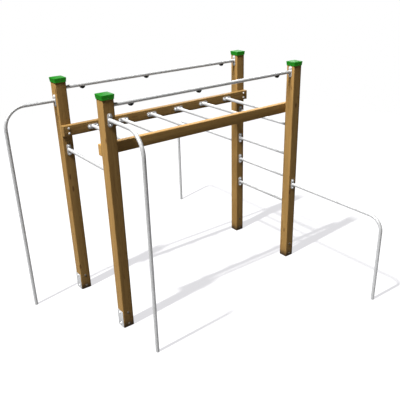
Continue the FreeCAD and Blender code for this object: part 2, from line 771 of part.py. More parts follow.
def cap_blank(name, x, y):
    """A moulded cap: flared sides, a low pyramid roof and a square cavity for the post."""
    corner = "dims.cap_corner_radius"
    lower = "(dims.post_size + 2 * dims.cap_clearance + 2 * dims.cap_wall)"
    upper = f"({lower} + 2 * dims.cap_flare)"
    top = "dims.cap_side_height + dims.cap_roof_rise"
    outside = doc.addObject("Part::Loft", f"{name}_outside")
    outside.Sections = [
        cap_outline(f"{name}_lower", lower, corner, "0"),
        cap_outline(f"{name}_upper", upper, corner, "dims.cap_side_height"),
        cap_outline(f"{name}_flat", "dims.cap_roof_flat", "dims.cap_roof_radius", top),
    ]
    outside.Solid = True
    outside.Ruled = True
    inner = "(dims.post_size + 2 * dims.cap_clearance)"
    inner_radius = "dims.post_edge_radius + dims.cap_clearance"
    cavity = doc.addObject("Part::Extrusion", f"{name}_cavity")
    cavity.Base = cap_outline(f"{name}_inner", inner, inner_radius, "0")
    cavity.DirMode = "Normal"
    cavity.Solid = True
    cavity.setExpression("LengthFwd", "dims.post_height - dims.cap_level")
    return put(without(f"{name}_shell", outside, cavity), x=x, y=y, z="dims.cap_level")


def anchor_blank(name, x, y, x_sign):
    """A steel angle round the post's corner: one leg on its outer end, one on its rear."""
    corner = f"({HALF_POST} + dims.anchor_thickness)"
    end_leg = doc.addObject("Part::Box", f"{name}_end_leg")
    end_leg.setExpression("Length", "dims.anchor_thickness")
    end_leg.setExpression("Width", "dims.anchor_leg")
    end_leg.setExpression("Height", "dims.anchor_height")
    end_x = HALF_POST if x_sign == "+" else f"-{corner}"
    put(end_leg, x=end_x, y=f"{corner} - dims.anchor_leg")
    rear_leg = doc.addObject("Part::Box", f"{name}_rear_leg")
    rear_leg.setExpression("Length", "dims.anchor_leg")
    rear_leg.setExpression("Width", "dims.anchor_thickness")
    rear_leg.setExpression("Height", "dims.anchor_height")
    rear_x = f"{corner} - dims.anchor_leg" if x_sign == "+" else f"-{corner}"
    put(rear_leg, x=rear_x, y=HALF_POST)
    return put(fused(f"{name}_angle", [end_leg, rear_leg]), x=x, y=y)


for name, x_sign, y_sign in POSTS:
    x = f"{SHIFT} {x_sign} {HALF_X}"
    y = f"0 {y_sign} {HALF_Y}"
    drilled(f"cap_{name}", cap_blank(f"cap_{name}", x, y))
    drilled(f"anchor_{name}", anchor_blank(f"anchor_{name}", x, y, x_sign))

# ---- Sets of fasteners -------------------------------------------------------------------


def lowered(seats, distance):
    """The same seats, moved down along their own axes."""
    step = Placement(Vector(0, 0, -value(distance)), Rotation())
    return [seat * step for seat in seats]


for bars, seats in flange_seat_lists.items():
    keep(repeated(f"{bars}_screws_set", flange_screw, seats), f"{bars}_screws")
    washers = lowered(seats, "dims.washer_thickness")
    keep(repeated(f"{bars}_washers_set", washer, washers), f"{bars}_washers")

keep(repeated("beam_screws_set", beam_screw, beam_seats), "beam_screws")
beam_washer_seats = lowered(beam_seats, "dims.washer_thickness")
keep(repeated("beam_washers_set", washer, beam_washer_seats), "beam_washers")
keep(repeated("anchor_screws_set", anchor_screw, anchor_screw_seats), "anchor_screws")
screw_washer_seats = lowered(anchor_screw_seats, "dims.washer_thickness")
keep(repeated("anchor_screw_washers_set", washer, screw_washer_seats), "anchor_screw_washers")
keep(repeated("anchor_bolts_set", anchor_bolt, bolt_seats), "anchor_bolts")
keep(repeated("anchor_bolt_washers_set", bolt_washer, bolt_washer_seats), "anchor_bolt_washers")
nut_seats = lowered(bolt_washer_seats, "-dims.washer_thickness")
keep(repeated("anchor_nuts_set", nut, nut_seats), "anchor_nuts")
keep(repeated("cap_screws_set", cap_screw, cap_seats), "cap_screws")

# ---- Checks and files ----------------------------------------------------------------------

doc.recompute()
for item in doc.Objects:
    if "Invalid" in item.State or "Error" in item.State:
        raise RuntimeError(f"{item.Label} did not build: {item.State}")
names = [piece.Label for piece in nodes]
if len(set(names)) != len(names):
    raise RuntimeError("two sub-parts share a name")

os.makedirs("parts", exist_ok=True)
for piece in nodes:
    shape = piece.Shape
    if shape.isNull() or not shape.isValid():
        raise RuntimeError(f"{piece.Label} has no valid shape")
    shape.exportStep(f"parts/{piece.Label}.step")
    solids = len(shape.Solids)
    litres = shape.Volume / 1e6
    print(f"{piece.Label}: {solids} solids, {litres:.3f} litres")
print(len(nodes), "sub-parts")
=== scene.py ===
import bmesh
import bpy
import math
import random
from mathutils import Matrix, Vector


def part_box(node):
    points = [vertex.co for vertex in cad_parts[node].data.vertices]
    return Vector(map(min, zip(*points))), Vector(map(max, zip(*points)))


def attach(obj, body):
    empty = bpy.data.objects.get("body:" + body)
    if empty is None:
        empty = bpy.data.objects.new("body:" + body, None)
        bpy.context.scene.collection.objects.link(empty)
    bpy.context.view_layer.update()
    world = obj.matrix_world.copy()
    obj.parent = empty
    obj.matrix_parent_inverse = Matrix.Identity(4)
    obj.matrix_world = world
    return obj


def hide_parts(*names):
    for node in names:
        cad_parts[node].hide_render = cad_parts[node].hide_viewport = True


# Looks of the timber monkey bars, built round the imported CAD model. Lengths are in metres, in
# the CAD's own frame: +X along the beams, +Y from the front to the rear, +Z up.

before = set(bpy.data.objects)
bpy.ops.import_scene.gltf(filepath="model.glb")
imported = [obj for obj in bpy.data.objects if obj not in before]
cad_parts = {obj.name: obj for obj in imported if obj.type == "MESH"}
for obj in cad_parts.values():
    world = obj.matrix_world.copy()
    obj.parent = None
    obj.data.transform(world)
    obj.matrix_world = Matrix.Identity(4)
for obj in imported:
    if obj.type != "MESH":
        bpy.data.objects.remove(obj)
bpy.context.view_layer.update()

ALONG = Vector((1, 0, 0))
ACROSS = Vector((0, 1, 0))
UP = Vector((0, 0, 1))
QUARTER = math.pi / 2
FULL = 2 * math.pi
GOLDEN_SHARE = 0.381966

# Sizes that the CAD model has as well.
TUBE_RADIUS = 0.019
TUBE_WALL = 0.003
TALL_BEND = 0.22
LOW_BEND = 0.16
FLANGE_LENGTH = 0.13
FLANGE_WIDTH = 0.05
FLANGE_THICKNESS = 0.006
FLANGE_HOLES = 0.09
WELD_LEG = 0.004
SCREW_RADIUS = 0.005
SCREW_TIP = 0.006
SCREW_HEAD = 0.0064
FLANGE_SCREW_LENGTH = 0.058
BEAM_SCREW_LENGTH = 0.11
ANCHOR_SCREW_LENGTH = 0.048
SCREW_CLEARANCE = 0.0003
WASHER_RADIUS = 0.0105
WASHER = 0.002
BEAM_SCREWS = 0.056
LUG_RADIUS = 0.032
LUG_DROP = 0.009
LUG_THICKNESS = 0.022
LUG_EYE_RADIUS = 0.005
LUG_EYE_DROP = 0.03
CAP_CAVITY = 0.035
CAP_INNER = 0.121
CAP_LOWER = 0.129
CAP_UPPER = 0.139
CAP_SIDE = 0.045
CAP_SCREW_TOP = 0.02
POST_HALF = 0.06
ANCHOR_THICKNESS = 0.005
ANCHOR_LEG = 0.115
ANCHOR_HEIGHT = 0.2
ANCHOR_ROWS = (0.042, 0.18)
BOLT_RADIUS = 0.006
BOLT_SPARE = 0.004
BOLT_WASHER_RADIUS = 0.0125
NUT_HEIGHT = 0.01

# Sizes of details that the CAD model leaves out or has only in the rough.
FLANGE_EDGE = 0.0009
LUG_EDGE = 0.0022
LUG_SADDLE = 0.0296
LUG_WELD = 0.0028
ANCHOR_EDGE = 0.0008
ANCHOR_BEND = 0.005
NUT_FLATS = 0.019
HEAD_FLATS = 0.017
SCREW_CORE = 0.0037
SCREW_PITCH = 0.004
BOLT_THREAD_DEPTH = 0.0009
BOLT_PITCH = 0.00175
BOLT_THREAD_LENGTH = 0.021

# The grain coordinate of every piece runs along it in metres and starts this much further on
# than the piece before it, so that a material can tell one piece from the next.
GRAIN_STEP = 10.0

# Painted light and shade: each timber's own colours are scaled to even out its lamp light and
# shadow.
TIMBER_PAINTED_LIGHT = {
    "post_front_left": 0.93,
    "post_front_right": 1.03,
    "post_rear_left": 0.94,
    "post_rear_right": 1.0,
    "beam_front": 1.22,
    "beam_rear": 0.73,
}


# ---- Solids as points and faces ----------------------------------------------------------


class Solid:
    """Points and faces, and for each point its place in the piece's own grain."""

    def __init__(self, points, faces, grain=None):
        self.points = points
        self.faces = faces
        self.grain = grain or [point.copy() for point in points]

    def placed(self, matrix, grain_shift=Vector()):
        points = [matrix @ point for point in self.points]
        grain = [point + grain_shift for point in self.grain]
        return Solid(points, self.faces, grain)


def joined(solids):
    """Several solids as the shells of one piece."""
    points, faces, grain = [], [], []
    for solid in solids:
        first = len(points)
        points += solid.points
        grain += solid.grain
        faces += [[first + corner for corner in face] for face in solid.faces]
    return Solid(points, faces, grain)


def skin(sections, grain=None, loop=False):
    """A closed surface through outlines of equal length. Its two ends are filled, or joined."""
    count = len(sections[0])
    points = [point for section in sections for point in section]
    faces = []
    for row in range(len(sections) if loop else len(sections) - 1):
        here = row * count
        there = (row + 1) % len(sections) * count
        for step in range(count):
            after = (step + 1) % count
            faces.append([here + step, here + after, there + after, there + step])
    if not loop:
        last = (len(sections) - 1) * count
        faces.append(list(range(count)))
        faces.append(list(range(last, last + count)))
    return Solid(points, faces, grain)


def hexagon(angle, flats):
    """How far a hexagon reaches at an angle, given its width across the flats."""
    sixth = FULL / 6
    return flats / 2 / math.cos(angle % sixth - sixth / 2)


def turned(stations, steps=32, flats=None, loop=False):
    """A solid round Z through (radius, height) stations. With flats, a hexagon trims it."""
    sections = []
    for radius, height in stations:
        section = []
        for step in range(steps):
            angle = FULL * step / steps
            reach = min(radius, hexagon(angle, flats)) if flats else radius
            section.append(Vector((reach * math.cos(angle), reach * math.sin(angle), height)))
        sections.append(section)
    return skin(sections, loop=loop)


def threaded(radius, depth, pitch, start, end, steps=24, parts=5):
    """Sections of a helical thread about Z, from one height to another."""
    sections = []
    count = round((end - start) / pitch * parts)
    for row in range(count + 1):
        height = start + (end - start) * row / count
        section = []
        for step in range(steps):
            angle = FULL * step / steps
            phase = (height / pitch - step / steps) % 1.0
            reach = radius - depth * abs(2 * phase - 1)
            section.append(Vector((reach * math.cos(angle), reach * math.sin(angle), height)))
        sections.append(section)
    return sections


def circle(radius, place=(0, 0), steps=32):
    """Points of a circle in the plane."""
    angles = [FULL * step / steps for step in range(steps)]
    return [
        (place[0] + radius * math.cos(angle), place[1] + radius * math.sin(angle))
        for angle in angles
    ]


def oblong(length, width, steps=16):
    """Points of a round-ended slot shape in the plane, its long side along X."""
    points = []
    for side in (1, -1):
        for step in range(steps + 1):
            angle = -QUARTER + math.pi * step / steps
            reach = (length - width) / 2 + width / 2 * math.cos(angle)
            points.append((side * reach, side * width / 2 * math.sin(angle)))
    return points


def plate(outlines, thickness, edge):
    """A flat plate on the XY plane with softened edges. All but the first outline are holes."""
    curve = bpy.data.curves.new("plate_outline", "CURVE")
    curve.dimensions = "2D"
    curve.fill_mode = "BOTH"
    curve.extrude = thickness / 2 - edge
    curve.bevel_depth = edge
    curve.bevel_resolution = 2
    curve.offset = -edge
    for outline in outlines:
        spline = curve.splines.new("POLY")
        spline.points.add(len(outline) - 1)
        for point, (x, y) in zip(spline.points, outline):
            point.co = (x, y, 0, 1)
        spline.use_cyclic_u = True
    carrier = bpy.data.objects.new("plate_carrier", curve)
    bpy.context.scene.collection.objects.link(carrier)
    graph = bpy.context.evaluated_depsgraph_get()
    mesh = bpy.data.meshes.new_from_object(carrier.evaluated_get(graph))
    bpy.data.objects.remove(carrier)
    work = bmesh.new()
    work.from_mesh(mesh)
    bmesh.ops.remove_doubles(work, verts=work.verts, dist=edge / 50)
    lift = Vector((0, 0, thickness / 2))
    points = [vertex.co + lift for vertex in work.verts]
    work.verts.index_update()
    faces = [[vertex.index for vertex in face.verts] for face in work.faces]
    work.free()
    bpy.data.meshes.remove(mesh)
    return Solid(points, faces)


# ---- Pieces ------------------------------------------------------------------------------

piece_count = 0


def next_grain():
    """Where the next piece's grain coordinate starts."""
    global piece_count
    piece_count += 1
    return Vector((0, 0, GRAIN_STEP * piece_count))


def make_piece(name, solid, look, *stands_for, sharp=32):
    """A piece of the visual model that rides on the root body and replaces CAD nodes."""
    mesh = bpy.data.meshes.new(name)
    mesh.from_pydata(solid.points, [], solid.faces)
    grain = mesh.attributes.new("grain", "FLOAT_VECTOR", "POINT")
    grain.data.foreach_set("vector", [number for point in solid.grain for number in point])
    work = bmesh.new()
    work.from_mesh(mesh)
    bmesh.ops.recalc_face_normals(work, faces=work.faces)
    work.to_mesh(mesh)
    work.free()
    mesh.shade_smooth()
    mesh.set_sharp_from_angle(angle=math.radians(sharp))
    material, slot = look
    mesh.materials.append(material)
    piece = bpy.data.objects.new(name, mesh)
    bpy.context.scene.collection.objects.link(piece)
    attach(piece, "root")
    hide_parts(*stands_for)
    return piece


def frame_at(origin, outward, side):
    """A place whose Z points outward and whose X points along side."""
    turn = Matrix((side, outward.cross(side), outward)).transposed()
    return Matrix.Translation(origin) @ turn.to_4x4()


def raised(height):
    return Matrix.Translation((0, 0, height))


# ---- Materials ---------------------------------------------------------------------------


class Look:
    """A procedural material under construction."""

    def __init__(self, name):
        self.material = bpy.data.materials.new(name)
        self.material.use_nodes = True
        self.tree = self.material.node_tree
        self.shader = self.tree.nodes["Principled BSDF"]

    def plug(self, socket, source):
        if isinstance(source, bpy.types.NodeSocket):
            self.tree.links.new(source, socket)
        else:
            socket.default_value = source

    def node(self, kind, inputs=(), output=0, **settings):
        """Adds a node, fills the named or numbered inputs and returns one of its outputs."""
        made = self.tree.nodes.new(f"ShaderNode{kind}")
        for setting, choice in settings.items():
            setattr(made, setting, choice)
        for place, source in dict(inputs).items():
            self.plug(made.inputs[place], source)
        return made.outputs[output]

    def math(self, operation, first, second=0.0, third=0.0):
        return self.node("Math", {0: first, 1: second, 2: third}, operation=operation)

    def scaled(self, vector, x, y, z):
        """A vector with each part multiplied by a number."""
        return self.node("VectorMath", {0: vector, 1: (x, y, z)}, operation="MULTIPLY")

    def noise(self, vector, scale=1.0, detail=2.0, roughness=0.5, output="Fac"):
        inputs = {"Vector": vector, "Scale": scale, "Detail": detail, "Roughness": roughness}
        return self.node("TexNoise", inputs, output)

    def spread(self, source, low, high, to_low=0.0, to_high=1.0):
        """A number carried from one range to another, and held at its ends."""
        inputs = {0: source, 1: low, 2: high, 3: to_low, 4: to_high}
        return self.node("MapRange", inputs, clamp=True)

    def mix(self, amount, first, second, blend="MIX"):
        """Two colours mixed by an amount."""
        inputs = {0: amount, 6: first, 7: second}
        return self.node("Mix", inputs, 2, data_type="RGBA", blend_type=blend)

    def finish(self, slot, colour, roughness, height, depth, **sockets):
        """Wires the shader and returns the material with its slot."""
        self.plug(self.shader.inputs["Base Color"], colour)
        self.plug(self.shader.inputs["Roughness"], roughness)
        bump = {"Strength": 1.0, "Distance": depth, "Height": height}
        self.plug(self.shader.inputs["Normal"], self.node("Bump", bump))
        for socket, number in sockets.items():
            self.shader.inputs[socket.replace("_", " ")].default_value = number
        return self.material, slot


def grey(level, red=1.0, blue=1.0):
    return (level * red, level, level * blue, 1.0)


BOARD = 0.04
OUTER_SEAM = 0.05
RING_WIDTH = 0.0052


def timber_look():
    """Stained laminated softwood: growth rings, fibres, knots and a glue line every 40 mm."""
    look = Look("stained_timber")
    grain = look.node("Attribute", output="Vector", attribute_name="grain")
    parts = look.tree.nodes.new("ShaderNodeSeparateXYZ")
    look.plug(parts.inputs[0], grain)
    # Each 40 mm board of each timber has its own pith, tone and fibres.
    board_place = look.math("MULTIPLY_ADD", parts.outputs["X"], 1 / BOARD, 1.5)
    board = look.math("FLOOR", board_place)
    timber = look.math("FLOOR", look.math("DIVIDE", parts.outputs["Z"], GRAIN_STEP))
    key = look.node("CombineXYZ", {0: board, 1: timber})
    chance = look.node("TexWhiteNoise", {"Vector": key}, "Color", noise_dimensions="3D")
    tone = look.node("TexWhiteNoise", {"Vector": key}, "Value", noise_dimensions="3D")
    centred = look.node("VectorMath", {0: chance, 1: (0.5, 0.5, 0.5)}, operation="SUBTRACT")
    pith = look.scaled(centred, 0.16, 0.2, 30.0)
    place = look.node("VectorMath", {0: grain, 1: pith}, operation="ADD")
    sway = look.noise(look.scaled(place, 5, 5, 0.9), 1.0, 3.0, 0.55, "Color")
    sway = look.node("VectorMath", {0: sway, 1: (0.5, 0.5, 0.5)}, operation="SUBTRACT")
    sway = look.scaled(sway, 0.05, 0.05, 0.0)
    bent = look.node("VectorMath", {0: place, 1: sway}, operation="ADD")
    flat = look.scaled(bent, 1, 1, 0)
    from_pith = look.node("VectorMath", {0: flat}, "Value", operation="LENGTH")
    ring = look.math("FRACT", look.math("DIVIDE", from_pith, RING_WIDTH))
    latewood = look.spread(ring, 0.35, 0.92)
    latewood = look.math("POWER", latewood, 2.2)
    ring_end = look.spread(ring, 0.92, 1.0, 1.0, 0.0)
    latewood = look.math("MULTIPLY", latewood, ring_end)
    fibre = look.noise(look.scaled(place, 620, 620, 11), 1.0, 3.0, 0.6)
    streak = look.noise(look.scaled(place, 58, 58, 1.3), 1.0, 4.0, 0.6)
    cloud = look.noise(look.scaled(place, 7, 7, 1.1), 1.0, 3.0, 0.5)
    cell = {"Vector": look.scaled(place, 8.0, 8.0, 3.1), "Scale": 1.0}
    knot_far = look.node("TexVoronoi", cell, "Distance")
    knot = look.spread(knot_far, 0.075, 0.13, 1.0, 0.0)
    colour = look.mix(latewood, (0.325, 0.193, 0.065, 1), (0.165, 0.087, 0.026, 1))
    streak_share = look.spread(streak, 0.38, 0.68, 0.0, 0.55)
    colour = look.mix(streak_share, colour, (0.19, 0.105, 0.032, 1))
    cloud_share = look.spread(cloud, 0.35, 0.72, 0.0, 0.5)
    colour = look.mix(cloud_share, colour, (0.305, 0.2, 0.074, 1))
    tone_share = look.spread(tone, 0.0, 1.0, 0.05, 0.4)
    colour = look.mix(tone_share, colour, (0.215, 0.117, 0.034, 1))
    fibre_share = look.spread(fibre, 0.35, 0.75, 0.0, 0.4)
    colour = look.mix(fibre_share, colour, (0.15, 0.078, 0.02, 1))
    colour = look.mix(look.math("MULTIPLY", knot, 0.75), colour, (0.09, 0.038, 0.012, 1))
    seam = look.math("ABSOLUTE", look.math("SUBTRACT", look.math("FRACT", board_place), 0.5))
    seam = look.spread(seam, 0.49, 0.498)
    from_middle = look.math("ABSOLUTE", parts.outputs["X"])
    inner_board = look.math("LESS_THAN", from_middle, OUTER_SEAM)
    seam = look.math("MULTIPLY", seam, inner_board)
    colour = look.mix(look.math("MULTIPLY", seam, 0.55), colour, (0.07, 0.032, 0.011, 1))
    # Painted light and shade: each timber's colours are scaled by its own brightness number.
    painted_light = look.node("Attribute", output="Fac", attribute_name="painted_light")
    inputs = {0: colour, "Scale": painted_light}
    colour = look.node("VectorMath", inputs, operation="SCALE")
    # Painted shade: the lowest hand's breadth of the posts is painted darker towards the floor.
    height = look.tree.nodes.new("ShaderNodeSeparateXYZ")
    look.plug(height.inputs[0], look.node("NewGeometry", output="Position"))
    foot_shade_edge = look.math("MULTIPLY_ADD", cloud, 0.16, 0.02)
    foot_shade = look.math("SUBTRACT", foot_shade_edge, height.outputs["Z"])
    foot_shade = look.spread(foot_shade, -0.06, 0.06, 0.0, 0.5)
    colour = look.mix(foot_shade, colour, (0.085, 0.045, 0.016, 1))
    # Painted contact shade: the last few centimetres above the floor are painted much darker
    # still.
    contact_shade_edge = look.math("MULTIPLY_ADD", streak, 0.05, 0.02)
    contact_shade = look.math("SUBTRACT", contact_shade_edge, height.outputs["Z"])
    contact_shade = look.spread(contact_shade, -0.035, 0.02, 0.0, 0.85)
    colour = look.mix(contact_shade, colour, (0.03, 0.019, 0.009, 1))
    roughness = look.spread(look.math("ADD", fibre, streak), 0.7, 1.3, 0.52, 0.74)
    relief = look.math("MULTIPLY_ADD", fibre, -0.5, look.math("MULTIPLY", latewood, 0.4))
    relief = look.math("MULTIPLY_ADD", seam, -0.8, relief)
    relief = look.math("MULTIPLY_ADD", knot, 0.3, relief)
    return look.finish("timber", colour, roughness, relief, 0.0006, Specular_IOR_Level=0.1)


def zinc_look(name, slot, level, roughness, metal, spangle_size, warmth=0.0):
    """Zinc on steel: a spangle of crystals, dull clouds and fine scratches."""
    look = Look(name)
    grain = look.node("Attribute", output="Vector", attribute_name="grain")
    cell = {"Vector": grain, "Scale": 1 / spangle_size, "Randomness": 1.0}
    crystal = look.node("TexVoronoi", cell, "Color")
    crystal = look.node("SeparateColor", {0: crystal})
    edge = look.node("TexVoronoi", cell, feature="DISTANCE_TO_EDGE")
    edge = look.spread(edge, 0.0, 0.07, 1.0, 0.0)
    cloud = look.noise(look.scaled(grain, 16, 16, 5), 1.0, 4.0, 0.6)
    dust = look.noise(grain, 900.0, 3.0, 0.6)
    scratch = look.noise(look.scaled(grain, 900, 900, 40), 1.0, 2.0, 0.5)
    red, blue = 0.99 + warmth, 1.03 - warmth
    colour = look.mix(crystal, grey(level * 0.88, red, blue), grey(level * 1.1, red, blue))
    dull = look.spread(cloud, 0.42, 0.68, 0.0, 0.6)
    colour = look.mix(dull, colour, grey(level * 0.93, 1.0 + warmth, 1.0 - warmth))
    speck = look.spread(dust, 0.62, 0.75, 0.0, 0.35)
    colour = look.mix(speck, colour, grey(level * 0.7, 1.02, 0.96))
    rough = look.math("MULTIPLY_ADD", crystal, 0.14, roughness - 0.07)
    rough = look.math("MULTIPLY_ADD", dull, 0.16, rough)
    rough = look.math("MULTIPLY_ADD", look.spread(scratch, 0.6, 0.8), -0.12, rough)
    relief = look.math("MULTIPLY_ADD", edge, -0.25, look.math("MULTIPLY", crystal, 0.3))
    relief = look.math("MULTIPLY_ADD", dust, 0.5, relief)
    return look.finish(slot, colour, rough, relief, 0.00008, Metallic=metal)


def cap_look():
    """Moulded green plastic with a fine grain, faded a little in clouds."""
    look = Look("green_plastic")
    grain = look.node("Attribute", output="Vector", attribute_name="grain")
    leather = look.node("TexVoronoi", {"Vector": grain, "Scale": 900.0}, "Distance")
    cloud = look.noise(grain, 24.0, 4.0, 0.6)
    dust = look.noise(grain, 500.0, 3.0, 0.7)
    fade = look.spread(cloud, 0.35, 0.7)
    colour = look.mix(fade, (0.003, 0.068, 0.003, 1), (0.006, 0.086, 0.006, 1))
    speck = look.spread(dust, 0.6, 0.78, 0.0, 0.3)
    colour = look.mix(speck, colour, (0.012, 0.072, 0.012, 1))
    roughness = look.spread(cloud, 0.3, 0.75, 0.5, 0.62)
    # Painted light: a faint green glow keeps the cap's shaded sides bright green.
    look.shader.inputs["Emission Color"].default_value = (0.008, 0.085, 0.005, 1)
    look.shader.inputs["Emission Strength"].default_value = 1.0
    return look.finish(
        "cap_plastic", colour, roughness, leather, 0.00003, Specular_IOR_Level=0.06
    )


def lug_look():
    """Black powder coat: an orange-peel surface with worn grey spots."""
    look = Look("black_powder_coat")
    grain = look.node("Attribute", output="Vector", attribute_name="grain")
    peel = look.noise(grain, 420.0, 2.0, 0.5)
    wear = look.noise(grain, 160.0, 4.0, 0.7)
    worn = look.spread(wear, 0.62, 0.72, 0.0, 0.6)
    colour = look.mix(worn, (0.009, 0.009, 0.01, 1), (0.04, 0.04, 0.042, 1))
    roughness = look.spread(peel, 0.3, 0.7, 0.5, 0.66)
    return look.finish("black_steel", colour, roughness, peel, 0.0001, Specular_IOR_Level=0.2)


TIMBER = timber_look()
GALVANISED = zinc_look("galvanised_steel", "galvanised_steel", 0.42, 0.42, 0.4, 0.009)
FASTENER = zinc_look("zinc_plated_fastener", "zinc_fastener", 0.72, 0.36, 0.35, 0.002)
DULL = zinc_look("weathered_steel", "zinc_fastener", 0.07, 0.62, 0.3, 0.003, 0.25)
GREEN = cap_look()
BLACK = lug_look()


# ---- Timber ------------------------------------------------------------------------------

CORNER_STEPS = 5
STATION = 0.025
END_CHAMFER = 0.003


def timber_outline(width, depth, radius, notches):
    """Points round a timber's section, with the drying cracks that cross it."""
    points = []
    for side in range(4):
        turn = Matrix.Rotation(side * QUARTER, 2)
        out, reach = (width / 2, depth / 2) if side % 2 == 0 else (depth / 2, width / 2)
        for place, half, deep in notches[side]:
            for shift, sunk in ((-3, 0), (-1, 0), (0, deep), (1, 0), (3, 0)):
                points.append(turn @ Vector((out - sunk, place + shift * half)))
        corner = Vector((out - radius, reach - radius))
        for step in range(CORNER_STEPS + 1):
            angle = QUARTER * step / CORNER_STEPS
            points.append(turn @ (corner + radius * Vector((math.cos(angle), math.sin(angle)))))
    return points


def drying_cracks(chance, width, depth, length):
    """A few cracks along the grain: side, place, start, length, half width and depth."""
    cracks = []
    for side in range(4):
        face = depth if side % 2 == 0 else width
        for place in (-0.2, 0.22):
            if chance.random() < 0.6:
                crack = {"side": side}
                crack["place"] = face * (place + chance.uniform(-0.08, 0.08))
                crack["length"] = chance.uniform(0.25, 0.8)
                crack["start"] = chance.uniform(0.15, length - crack["length"] - 0.15)
                crack["half"] = chance.uniform(0.0004, 0.0008)
                crack["deep"] = chance.uniform(0.003, 0.007)
                crack["sway"] = chance.uniform(0.001, 0.003)
                cracks.append(crack)
    return sorted(cracks, key=lambda crack: crack["place"])


def crack_notches(cracks, height):
    """The cracks as they cross one station: for each side a list of place, half and deep."""
    notches = [[], [], [], []]
    for crack in cracks:
        share = (height - crack["start"]) / crack["length"]
        opening = math.sin(math.pi * share) ** 0.7 if 0 < share < 1 else 0.0
        place = crack["place"] + crack["sway"] * math.sin(9 * height + 40 * crack["half"])
        half = crack["half"] * (0.25 + 0.75 * opening)
        notches[crack["side"]].append((place, half, crack["deep"] * opening))
    return notches


def timber(node, seed, along, side, radius):
    """A sawn and planed timber with eased edges in place of a CAD post or beam."""
    low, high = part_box(node)
    size = high - low
    length = abs(size.dot(along))
    width = abs(size.dot(side))
    depth = abs(size.dot(along.cross(side)))
    origin = (low + high) / 2 - along * length / 2
    place = frame_at(origin, along, side)
    cracks = drying_cracks(random.Random(seed), width, depth, length)
    heights = [(0.0, END_CHAMFER), (END_CHAMFER, 0.0)]
    count = round(length / STATION)
    heights += [(length * row / count, 0.0) for row in range(1, count)]
    heights += [(length - END_CHAMFER, 0.0), (length, END_CHAMFER)]
    start = next_grain()
    sections = []
    grain = []
    for height, inset in heights:
        notches = crack_notches(cracks, height)
        inner = 2 * inset
        outline = timber_outline(width - inner, depth - inner, radius - inset / 2, notches)
        local = [Vector((point.x, point.y, height)) for point in outline]
        sections.append([place @ point for point in local])
        grain += [point + start for point in local]
    piece = make_piece(f"{node}_timber", skin(sections, grain), TIMBER, node, sharp=28)
    # Painted light and shade: each timber's brightness number goes with its points to the
    # material.
    painted_light = piece.data.attributes.new("painted_light", "FLOAT", "POINT")
    painted_light.data.foreach_set("value", [TIMBER_PAINTED_LIGHT[node]] * len(piece.data.vertices))


CORNERS = ("front_left", "front_right", "rear_left", "rear_right")
for seed, corner in enumerate(CORNERS, start=1):
    timber(f"post_{corner}", seed, UP, ALONG, 0.008)
for seed, side in enumerate(("rear", "front"), start=11):
    timber(f"beam_{side}", seed, ALONG, UP, 0.006)


# ---- Fasteners, each with the underside of its head at the origin -------------------------


def coach_screw(length):
    """A hexagon-headed wood screw with a chamfered head and a rolled thread."""
    head = turned(
        [(0.0078, 0), (0.0081, 0.0003), (0.0098, 0.0004), (0.0098, 0.0052), (0.0086, 0.0062)]
        + [(0.0078, SCREW_HEAD), (0.004, SCREW_HEAD)],
        steps=36,
        flats=HEAD_FLATS,
    )
    stations = [(0.001, -length), (SCREW_RADIUS, SCREW_TIP - length)]
    threads = round(0.6 * length / SCREW_PITCH)
    for turn in range(threads):
        foot = SCREW_TIP - length + SCREW_PITCH * turn
        stations += [(SCREW_CORE, foot + 0.0016), (SCREW_RADIUS, foot + SCREW_PITCH)]
    shank_top = [(SCREW_RADIUS, -0.0004), (SCREW_RADIUS, 0.0002)]
    return joined([head, turned(stations + shank_top, steps=16)])


def washer(radius, hole):
    """A stamped washer, rounded at its upper edge."""
    stations = [(hole, 0), (radius - 0.0002, 0), (radius, 0.0002), (radius, 0.0014)]
    stations += [(radius - 0.0002, 0.0018), (radius - 0.0006, WASHER), (hole + 0.0003, WASHER)]
    stations += [(hole, 0.0017)]
    return turned(stations, steps=36, loop=True)


def cap_screw():
    """A pan-headed screw with a hexagon socket."""
    body = [(0.0004, -0.025), (0.002, -0.022), (0.002, -0.0001), (0.004, 0), (0.004, 0.0011)]
    body += [(0.0037, 0.0018), (0.003, 0.0023), (0.002, 0.0025), (0.0015, 0.00245)]
    socket = [(0.0014, 0.0023), (0.0014, 0.0011), (0.0004, 0.0009)]
    return turned(body + socket, steps=24)


def anchor_bolt(length):
    """A mushroom-headed bolt with a threaded end."""
    head = [(0.005, -0.0002), (0.0138, 0), (0.014, 0.0003), (0.014, 0.001), (0.0133, 0.0024)]
    head += [(0.0115, 0.0038), (0.009, 0.0048), (0.006, 0.0055), (0.003, 0.0059)]
    head += [(0.0008, 0.006)]
    thread_top = -length + BOLT_THREAD_LENGTH
    end = threaded(BOLT_RADIUS, BOLT_THREAD_DEPTH, BOLT_PITCH, -length, thread_top)
    tip = turned([(0.0044, -length), (0.0051, -length + 0.0004)], steps=24)
    shank = turned([(BOLT_RADIUS, thread_top), (BOLT_RADIUS, 0.0)], steps=24)
    return joined([turned(head, steps=40), skin(end), tip, shank])


def nut():
    """A hexagon nut, chamfered at both ends."""
    hole = BOLT_RADIUS + 0.0001
    stations = [(hole + 0.0006, 0), (0.0088, 0), (0.011, 0.0012), (0.011, 0.0088)]
    stations += [(0.0088, NUT_HEIGHT), (hole + 0.0006, NUT_HEIGHT)]
    stations += [(hole, 0.0094), (hole, 0.0006)]
    return turned(stations, steps=36, flats=NUT_FLATS, loop=True)


def spin(number):
    """A turn about Z that differs from one fastener to the next, by the golden angle."""
    return Matrix.Rotation(FULL * (number * GOLDEN_SHARE % 1.0), 4, "Z")


